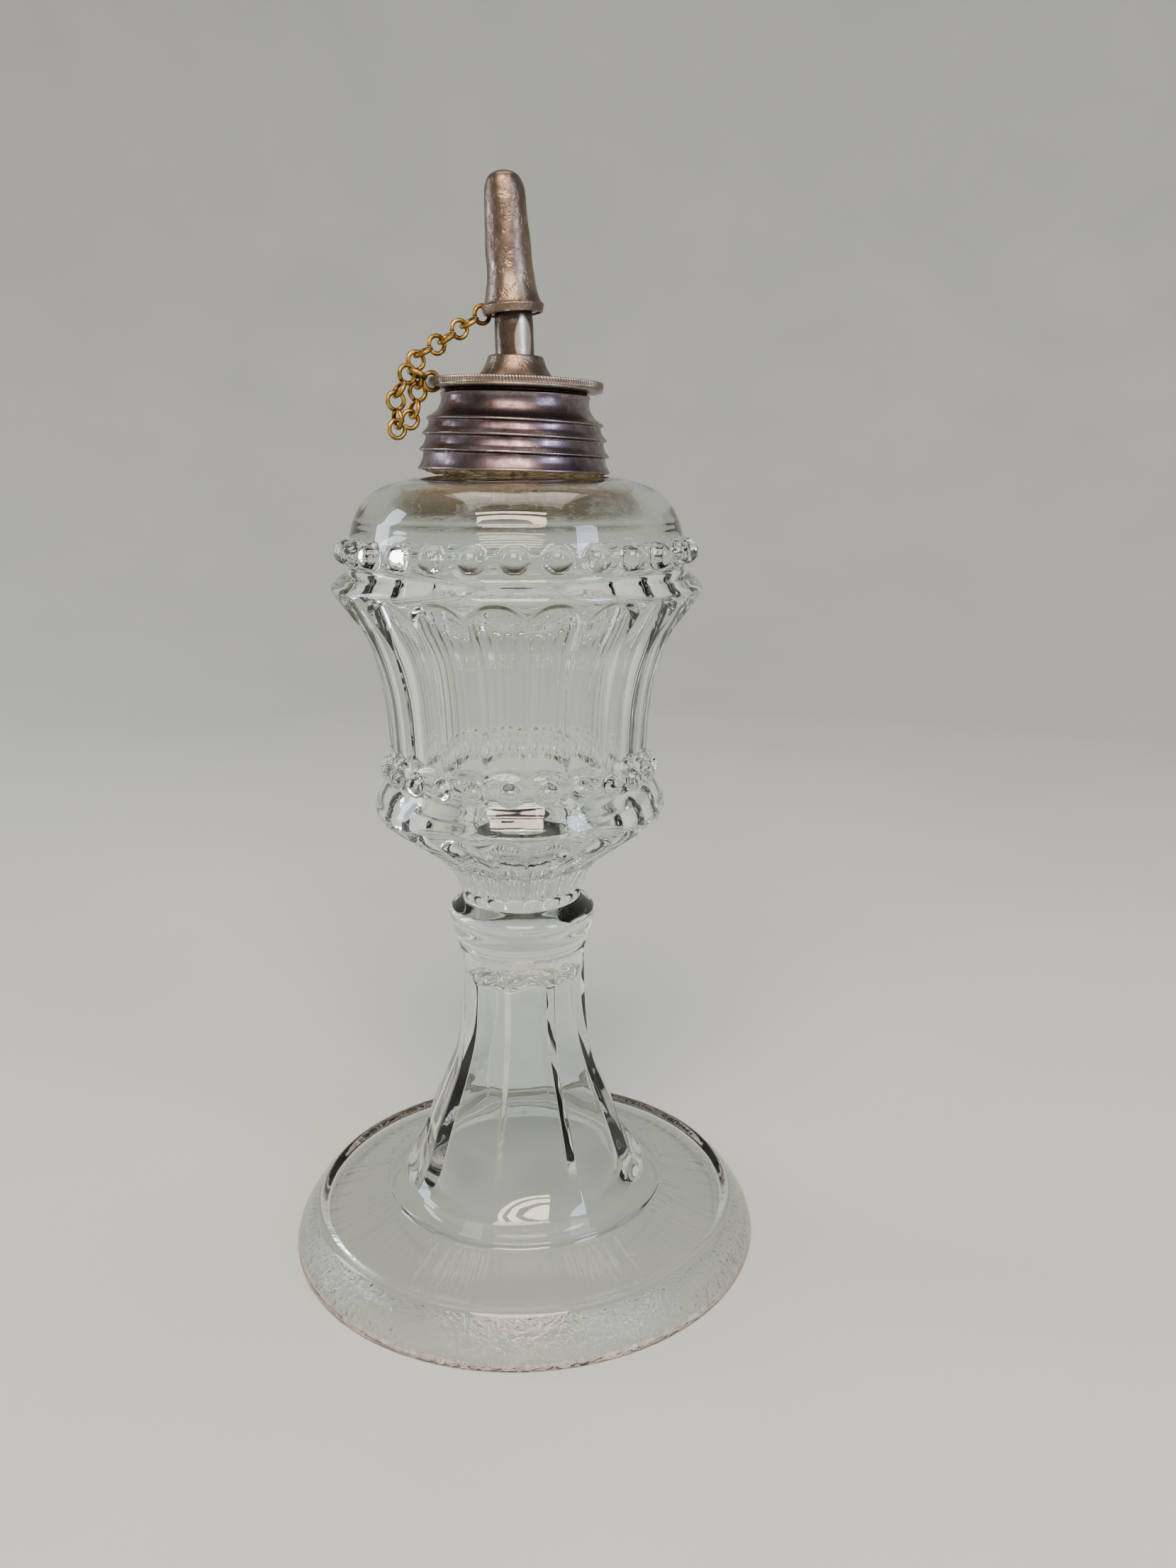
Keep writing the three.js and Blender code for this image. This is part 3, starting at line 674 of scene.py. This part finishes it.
# Grain of about 0.6 mm
leather_grain = add_node(
    old_leather, "ShaderNodeTexVoronoi", Vector=leather_place.outputs["Object"], Scale=1000 / 0.6
)
leather_tone = add_node(old_leather, "ShaderNodeValToRGB", i0=leather_grain.outputs["Distance"])
leather_tone.color_ramp.elements[0].color = colour("#1b1512")
leather_tone.color_ramp.elements[1].color = colour("#3d3029")
connect(old_leather, leather_tone.outputs["Color"], leather_shader.inputs["Base Color"])
leather_bump = add_node(
    old_leather, "ShaderNodeBump", Strength=0.6, Distance=0.0002, Height=leather_grain.outputs["Distance"]
)
connect(old_leather, leather_bump.outputs["Normal"], leather_shader.inputs["Normal"])
gasket.data.materials.append(old_leather)
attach(gasket, "gasket")
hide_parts("gasket")


# ---------------------------------------------------------------------------
# Burner: cast pewter. A knurled disc to turn it by, a flared boss that carries
# the wick tube, and a hollow threaded plug under it that screws into the collar.
# ---------------------------------------------------------------------------

disc_bottom, disc_top, boss_top = 16.2, 18.2, 23.1
disc_radius, knurl_teeth, knurl_depth = 18.2, 180, 0.22
plug_bottom, core_radius = 8.6, 11.3
tube_radius, tube_fit, tube_side = 4.0, 0.12, -0.2
burner_outside = [
    [core_radius - 0.35, plug_bottom], [core_radius, plug_bottom + 0.4], [core_radius, disc_bottom - 0.1],
    [core_radius + 0.2, disc_bottom], [disc_radius - 0.7, disc_bottom],
    [disc_radius - 0.2, disc_bottom + 0.12],
    [disc_radius - 0.02, disc_bottom + 0.42], [disc_radius - 0.12, disc_bottom + 0.62],
    [disc_radius, disc_bottom + 0.78], [disc_radius, disc_top - 0.18], [disc_radius - 0.22, disc_top],
    [disc_radius - 0.8, disc_top + 0.02], [11.0, disc_top + 0.1], [8.9, disc_top + 0.18],
]
boss_flare = [
    [8.9, disc_top + 0.18], [8.2, disc_top + 0.55], [7.1, disc_top + 1.7], [6.3, disc_top + 3.1],
    [5.85, disc_top + 4.3],
]
boss_rim = [
    [5.85, disc_top + 4.3], [5.75, boss_top - 0.25], [5.5, boss_top - 0.02], [4.6, boss_top],
    [tube_radius + tube_fit, boss_top - 0.1],
]
burner_inside = [
    [tube_radius + tube_fit, boss_top - 0.1], [tube_radius + tube_fit, disc_bottom - 1.0],
    [9.5, disc_bottom - 1.0], [9.5, plug_bottom], [core_radius - 0.35, plug_bottom],
]


def burner_shape(angle, radius, height):
    # Square-cut knurl on the upper part of the disc's edge
    tooth = np.sin(angle * knurl_teeth) < -0.15
    on_edge = (radius > disc_radius - 0.3) & (height > disc_bottom + 0.7)
    radius = np.where(on_edge & tooth, radius - knurl_depth, radius)
    # Screw thread on the plug, run out at both ends
    turn = ((height - plug_bottom - 1) / thread_pitch - angle / (2 * math.pi)) % 1.0
    ridge = np.clip(1.35 - np.abs(turn - 0.5) / 0.2, 0, 1) * thread_depth
    run = blend_step(height, plug_bottom + 0.7, plug_bottom + 1.5) * (1 - blend_step(height, 14.2, 15.0))
    on_plug = (radius > core_radius - 0.05) & (radius < core_radius + 0.05) & (height < disc_bottom)
    radius = np.where(on_plug, radius + 0.92 * ridge * run, radius)
    return radius, height


burner_rows = ridged(burner_outside, 0.3)[:-1] + spline(boss_flare, 0.3)[:-1]
burner_rows += ridged(boss_rim, 0.2)[:-1] + ridged(burner_inside, 0.6)[:-1]
burner = turned("pewter_burner", burner_rows, knurl_teeth * 6, burner_shape, collar_place, ends=False)
close_ring(burner)
# Cast pewter, browner than the collar, lightly pitted
cast_pewter = patina(
    "cast_pewter_patina", "#4b4038", "#726459", "#94867a", 0.33, pits=0.15, turned_lines=0.15
)
burner.data.materials.append(cast_pewter)
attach(burner, "burner")
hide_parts("burner")


# ---------------------------------------------------------------------------
# Wick tube: a long tapered pewter tube let into the boss, leaning slightly to
# the left. A pale oval on its right front is a painted highlight.
# ---------------------------------------------------------------------------

tube_lean = -1.3
tube_place = collar_place @ Matrix.Translation((tube_side, 0, boss_top)) @ Matrix.Rotation(
    math.radians(tube_lean - collar_tilt), 4, "Y"
)
tube_outline = [
    [3.4, -17.5], [4.0, -17.5], [4.0, 6], [3.88, 7.5], [3.5, 13], [3.05, 20.5], [2.66, 27.6], [2.5, 28],
    [2.25, 28], [2.2, 27.6], [3.0, 13], [3.4, 6], [3.4, -17.5],
]
wick_tube = turned("pewter_wick_tube", ridged(tube_outline, 0.5)[:-1], 96, None, tube_place, ends=False)
close_ring(wick_tube)
tube_pewter = patina("pewter_with_painted_highlight", "#3d342e", "#5c5048", "#7d7067", 0.3, pits=0.1)
# A painted highlight: a pale oval, 4 mm by 9 mm, at the right front
highlight_centre, highlight_width, highlight_height = (1.9, -3.4, 203.0), 2.0, 4.6
tube_place_node = add_node(tube_pewter, "ShaderNodeTexCoord").outputs["Object"]
highlight_offset = add_node(
    tube_pewter, "ShaderNodeMapping", {"vector_type": "TEXTURE"}, Vector=tube_place_node,
    Location=tuple(v * mm for v in highlight_centre),
    Scale=(highlight_width * mm, highlight_width * mm, highlight_height * mm),
)
highlight_reach = add_node(
    tube_pewter, "ShaderNodeVectorMath", {"operation": "LENGTH"}, i0=highlight_offset.outputs[0]
)
highlight_mask = add_node(
    tube_pewter, "ShaderNodeMapRange", Value=highlight_reach.outputs["Value"], i1=0.85, i2=1.05, i3=1.0, i4=0.0
)
tube_shader = tube_pewter.node_tree.nodes["Principled BSDF"]
under_highlight = tube_shader.inputs["Base Color"].links[0].from_socket
# Mixes the pale oval into the pewter's colour: a painted highlight
painted_highlight = add_node(
    tube_pewter, "ShaderNodeMix", {"data_type": "RGBA"},
    i0=highlight_mask.outputs[0], i6=under_highlight, i7=colour("#c7b8ad"),
)
connect(tube_pewter, painted_highlight.outputs[2], tube_shader.inputs["Base Color"])
wick_tube.data.materials.append(tube_pewter)
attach(wick_tube, "burner")
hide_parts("wick_tube")


# ---------------------------------------------------------------------------
# Wick: round braided cotton, charred at its top, pulled through the tube.
# ---------------------------------------------------------------------------

wick_radius, wick_top, wick_bottom = 1.85, 28.6, -17.0


def wick_shape(angle, radius, height):
    braid = np.sin(8 * angle + height * 3.2) * np.sin(8 * angle - height * 3.2)
    return radius * (1 + 0.06 * braid) - 0.06, height


wick_rows = [np.array([0.0, wick_bottom]), np.array([1.5, wick_bottom])]
wick_rows += ridged([[wick_radius, wick_bottom + 0.3], [wick_radius, wick_top - 0.4]], 0.3)
wick_rows += [np.array([1.4, wick_top - 0.05]), np.array([0.0, wick_top])]
wick = turned("braided_wick", wick_rows, 48, wick_shape, tube_place)
wick_cotton, cotton_shader = material("braided_cotton")
cotton_shader.inputs["Roughness"].default_value = 0.95
cotton_place = add_node(wick_cotton, "ShaderNodeTexCoord")
cotton_height = add_node(wick_cotton, "ShaderNodeSeparateXYZ", Vector=cotton_place.outputs["Object"])
cotton_char = add_node(
    wick_cotton, "ShaderNodeMapRange", Value=cotton_height.outputs["Z"], i1=0.2262, i2=0.2285
)
cotton_tone = add_node(wick_cotton, "ShaderNodeValToRGB", i0=cotton_char.outputs[0])
cotton_tone.color_ramp.elements[0].color = colour("#c9bda4")
cotton_tone.color_ramp.elements[1].color = colour("#2a2420")
connect(wick_cotton, cotton_tone.outputs["Color"], cotton_shader.inputs["Base Color"])
# Threads about 0.8 mm apart, as coarse as they need to show
cotton_threads = add_node(
    wick_cotton, "ShaderNodeTexNoise", Vector=cotton_place.outputs["Object"], Scale=1000 / 0.8
)
cotton_bump = add_node(
    wick_cotton, "ShaderNodeBump", Strength=0.7, Distance=0.0002, Height=cotton_threads.outputs["Fac"]
)
connect(wick_cotton, cotton_bump.outputs["Normal"], cotton_shader.inputs["Normal"])
wick.data.materials.append(wick_cotton)
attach(wick, "wick")
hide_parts("wick")


# ---------------------------------------------------------------------------
# Snuffer cap: a thin pewter thimble with a flared rim, dented and pitted all
# over. It stands loosely over the wick tube, leaning to the left. The chain's end
# loop goes through its rim, in which no hole is cut here.
# ---------------------------------------------------------------------------

cap_side, cap_rim_height, cap_lean, cap_length = -0.2, 208.3, -3.6, 27.0
cap_place = Matrix.Translation((cap_side, 0, cap_rim_height)) @ Matrix.Rotation(
    math.radians(cap_lean), 4, "Y"
)
cap_rim = [[5.65, 0.12], [5.8, 0.0], [6.02, 0.02], [6.15, 0.3], [6.38, 1.25], [6.44, 1.5], [6.36, 1.68]]
cap_outside = [
    [6.36, 1.68], [6.05, 1.95], [5.62, 2.9], [5.02, 5.9], [4.72, 9], [4.6, 14], [4.36, 19.5],
    [4.2, 22.4], [3.85, 24.4], [3.1, 25.95], [1.8, 26.75], [0.8, 26.96], [0, cap_length],
]
cap_inside = [
    [0, 26.0], [1.5, 25.6], [2.7, 24.3], [3.3, 22.0], [3.6, 19.5], [3.86, 14], [3.98, 9], [4.3, 5.9],
    [5.14, 1.8], [5.65, 0.12],
]


def cap_shape(angle, radius, height):
    dents = np.zeros(radius.shape)
    for i in range(radius.shape[0]):
        for j in range(radius.shape[1]):
            a = angle[i, j]
            spot = Vector((4 * math.sin(a), 4 * math.cos(a), height[i, j]))
            dents[i, j] = noise.noise(spot * 0.2) * 0.2 + min(0, noise.noise(spot * 0.55) + 0.16) * 0.16
    body = blend_step(height, 2.2, 5.0) * blend_step(radius, 0.5, 2.5)
    return np.where(radius > 0, radius + dents * body - 0.05 * body, radius), height


cap_rows = spline(cap_rim, 0.16)[:-1] + spline(cap_outside, 0.45)
snuffer_cap = turned("snuffer_cap_shell", cap_rows, 128, cap_shape, cap_place, ends=True)
cap_lining = turned("snuffer_cap_lining", spline(cap_inside, 0.8), 128, None, cap_place, ends=True)
bpy.context.view_layer.update()
joined = bmesh.new()
joined.from_mesh(snuffer_cap.data)
joined.from_mesh(cap_lining.data)
bmesh.ops.bridge_loops(joined, edges=[e for e in joined.edges if e.is_boundary])
bmesh.ops.recalc_face_normals(joined, faces=joined.faces)
joined.to_mesh(snuffer_cap.data)
joined.free()
snuffer_cap.data.shade_smooth()
bpy.data.objects.remove(cap_lining)
# Cast pewter, brown, pitted and dented
dented_pewter = patina("dented_pewter_patina", "#4e4138", "#75665a", "#988776", 0.34, pits=0.3)
snuffer_cap.data.materials.append(dented_pewter)
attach(snuffer_cap, "snuffer")
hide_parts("snuffer_cap")


# ---------------------------------------------------------------------------
# Chain: brass jack chain. Each link is one piece of wire bent into two loops at
# right angles, closed by hand, so the ends of the wire show at the waist.
# ---------------------------------------------------------------------------

wire_radius, loop_radius = 0.46, 1.73
hook_slack, hook_gap = 0.85, 0.06
chain_turn = math.pi + math.radians(30)
cap_ring, cap_ring_height = -6.6, cap_rim_height - 0.1
disc_ring_reach, disc_ring_height = 11.85, collar_seat + disc_top - 0.55
flat_link = 6
chain_from_cap = [
    (1, -30.3, -0.10), (2, -33.5, 0.19), (3, -27.6, 0.49),
    (4, -93.1, 0.94), (5, -75.6, 0.70), (6, -33.5, 0.52),
]
chain_from_disc = [(9, 22.0, -0.20), (8, -57.1, 0.05), (7, -94.5, 0.07)]
chain_place = Matrix.Translation((cap_ring, 0, 0)) @ Matrix.Rotation(chain_turn, 4, "Z")


def link_path(flat):
    """Centre line of one link: round the first loop, across the waist, round the second loop."""
    gap = math.radians(16)
    points = []
    for k in range(25):
        a = gap + (2 * math.pi - 2 * gap) * k / 24
        points.append((loop_radius * math.cos(a), 0.0, loop_radius * math.sin(a)))
    middle = 2 * loop_radius
    for k in range(25):
        a = math.pi + gap + (2 * math.pi - 2 * gap) * k / 24
        around = loop_radius * math.sin(a)
        if flat:
            points.append((middle + loop_radius * math.cos(a), 0.0, around))
        else:
            points.append((middle + loop_radius * math.cos(a), around, 0.0))
    return points


def wire(name, points, radius, place, sides=10):
    """A round wire along the points, with flat ends."""
    points = [Vector(p) for p in points]
    vertices, faces = [], []
    across = None
    for i, point in enumerate(points):
        ahead = (points[min(i + 1, len(points) - 1)] - points[max(i - 1, 0)]).normalized()
        if across is None:
            across = ahead.orthogonal().normalized()
        across = (across - ahead * across.dot(ahead)).normalized()
        other = ahead.cross(across)
        for k in range(sides):
            a = 2 * math.pi * k / sides
            vertices.append(point + (across * math.cos(a) + other * math.sin(a)) * radius)
        if i:
            first = (i - 1) * sides
            for k in range(sides):
                n = (k + 1) % sides
                faces.append((first + k, first + n, first + sides + n, first + sides + k))
    last = (len(points) - 1) * sides
    faces.append(tuple(reversed(range(sides))))
    faces.append(tuple(range(last, last + sides)))
    return mesh_object(name, [tuple(v) for v in vertices], faces, place)


chain_brass, brass_shader = material("aged_brass_wire")
brass_shader.inputs["Metallic"].default_value = 1.0
brass_place = add_node(chain_brass, "ShaderNodeTexCoord").outputs["Object"]
# Browned patches 2.4 mm long over yellow metal
brass_patches = add_node(chain_brass, "ShaderNodeTexNoise", Vector=brass_place, Scale=1000 / 2.4, Detail=5.0)
brass_tone = add_node(chain_brass, "ShaderNodeValToRGB", i0=brass_patches.outputs["Fac"])
brass_tone.color_ramp.elements[0].position = 0.36
brass_tone.color_ramp.elements[0].color = colour("#4a3516")
brass_tone.color_ramp.elements[1].position = 0.62
brass_tone.color_ramp.elements[1].color = colour("#b48d45")
connect(chain_brass, brass_tone.outputs["Color"], brass_shader.inputs["Base Color"])
brass_rough = add_node(
    chain_brass, "ShaderNodeMapRange", Value=brass_patches.outputs["Fac"], i1=0.35, i2=0.65, i3=0.5, i4=0.28
)
connect(chain_brass, brass_rough.outputs[0], brass_shader.inputs["Roughness"])
brass_bump = add_node(
    chain_brass, "ShaderNodeBump", Strength=0.25, Distance=0.0002, Height=brass_patches.outputs["Fac"]
)
connect(chain_brass, brass_bump.outputs["Normal"], brass_shader.inputs["Normal"])


def hang(anchor, links):
    """Hangs links one after another from an anchor in the chain's plane."""
    x, z = anchor
    for order, (number, rise, behind) in enumerate(links):
        along = (math.cos(math.radians(rise)), math.sin(math.radians(rise)))
        hook = 0 if order == 0 else hook_slack
        x += along[0] * hook
        z += along[1] * hook
        place = chain_place @ Matrix.Translation((x, -behind, z)) @ Matrix.Rotation(
            math.radians(-rise), 4, "Y"
        )
        node = f"chain_link_{number}"
        link = wire(f"brass_{node}", link_path(number == flat_link), wire_radius, place)
        link.data.materials.append(chain_brass)
        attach(link, link_body(node))
        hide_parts(node)
        reach = 3 * loop_radius - hook_gap
        x += along[0] * reach
        z += along[1] * reach


def link_body(node):
    return node if node in frame["bodies"] else "burner"


hang((0.0, cap_ring_height), chain_from_cap)
hang((disc_ring_reach, disc_ring_height), chain_from_disc)


# ---------------------------------------------------------------------------
# Studio: a plain pale floor that rises into a wall all round, a warm window
# light in front, cooler ones on the right and the left, and soft light from above.
# ---------------------------------------------------------------------------

floor_radius, wall_radius, wall_height = 700.0, 1500.0, 1500.0
sweep_radius = wall_radius - floor_radius
sweep = [[0, 0], [200, 0], [floor_radius, 0]]
sweep += [
    [floor_radius + sweep_radius * math.sin(a), sweep_radius * (1 - math.cos(a))]
    for a in np.linspace(0.1, math.pi / 2, 14)
]
sweep += [[wall_radius, wall_height]]
studio_floor = turned("studio_floor", [np.array(p, float) for p in sweep], 96)
studio_floor.data.flip_normals()
pale_paper, paper_shader = material("pale_paper")
paper_shader.inputs["Roughness"].default_value = 0.95
paper_place = add_node(pale_paper, "ShaderNodeTexCoord")
paper_grain = add_node(pale_paper, "ShaderNodeTexNoise", Vector=paper_place.outputs["Object"], Scale=9.0)
paper_tone = add_node(pale_paper, "ShaderNodeValToRGB", i0=paper_grain.outputs["Fac"])
paper_tone.color_ramp.elements[0].color = colour("#b3bab7")
paper_tone.color_ramp.elements[1].color = colour("#bfc5c2")
connect(pale_paper, paper_tone.outputs["Color"], paper_shader.inputs["Base Color"])
studio_floor.data.materials.append(pale_paper)


def window(name, place, aim, width, height, watts, tint):
    data = bpy.data.lights.new(name, "AREA")
    data.shape = "RECTANGLE"
    data.size, data.size_y = width, height
    data.energy = watts
    data.color = colour(tint)[:3]
    made = bpy.data.objects.new(name, data)
    made.location = place
    made.rotation_euler = (Vector(aim) - Vector(place)).to_track_quat("-Z", "Y").to_euler()
    made.visible_camera = False
    bpy.context.scene.collection.objects.link(made)
    return made


slats, slat_width, slat_height, slat_pitch, slat_watts = 5, 0.8, 0.075, 0.135, 5.4
front_side, front_back, front_up, front_tilt = -0.06, -0.80, 0.98, math.radians(50)
for slat in range(slats):
    # A tall front window seen between the slats of a blind
    rise = (slat - (slats - 1) / 2) * slat_pitch
    place = Vector(
        (front_side, front_back + rise * math.sin(front_tilt), front_up + rise * math.cos(front_tilt))
    )
    name = f"front_window_{slat + 1}"
    window(name, place, (0, 0, 0.12), slat_width, slat_height, slat_watts, "#ffe6cf")
window("right_window", (0.72, -0.62, 0.55), (0, 0, 0.1), 0.26, 0.5, 6.0, "#cbd9ff")
window("left_window", (-1.0, 0.25, 0.5), (0, 0, 0.1), 0.25, 0.7, 6.0, "#e3ecff")
window("ceiling", (0.0, 0.25, 1.4), (0, 0, 0), 1.0, 0.7, 5.0, "#fff6ea")
world = bpy.data.worlds.new("studio")
bpy.context.scene.world = world
world.use_nodes = True
world.node_tree.nodes["Background"].inputs["Color"].default_value = colour("#8c9491")
world.node_tree.nodes["Background"].inputs["Strength"].default_value = 0.5

camera_back, camera_up = 0.270, 0.17685
look_down, look_aside = 14.03, -3.2  # degrees
camera_data = bpy.data.cameras.new("camera")
camera_data.lens = 28.56
camera_data.sensor_width = 36.0
camera_data.clip_start = 0.01
camera = bpy.data.objects.new("camera", camera_data)
camera.location = (0.0, -camera_back, camera_up)
camera.rotation_euler = (math.radians(90 - look_down), 0, math.radians(look_aside))
bpy.context.scene.collection.objects.link(camera)
bpy.context.scene.camera = camera
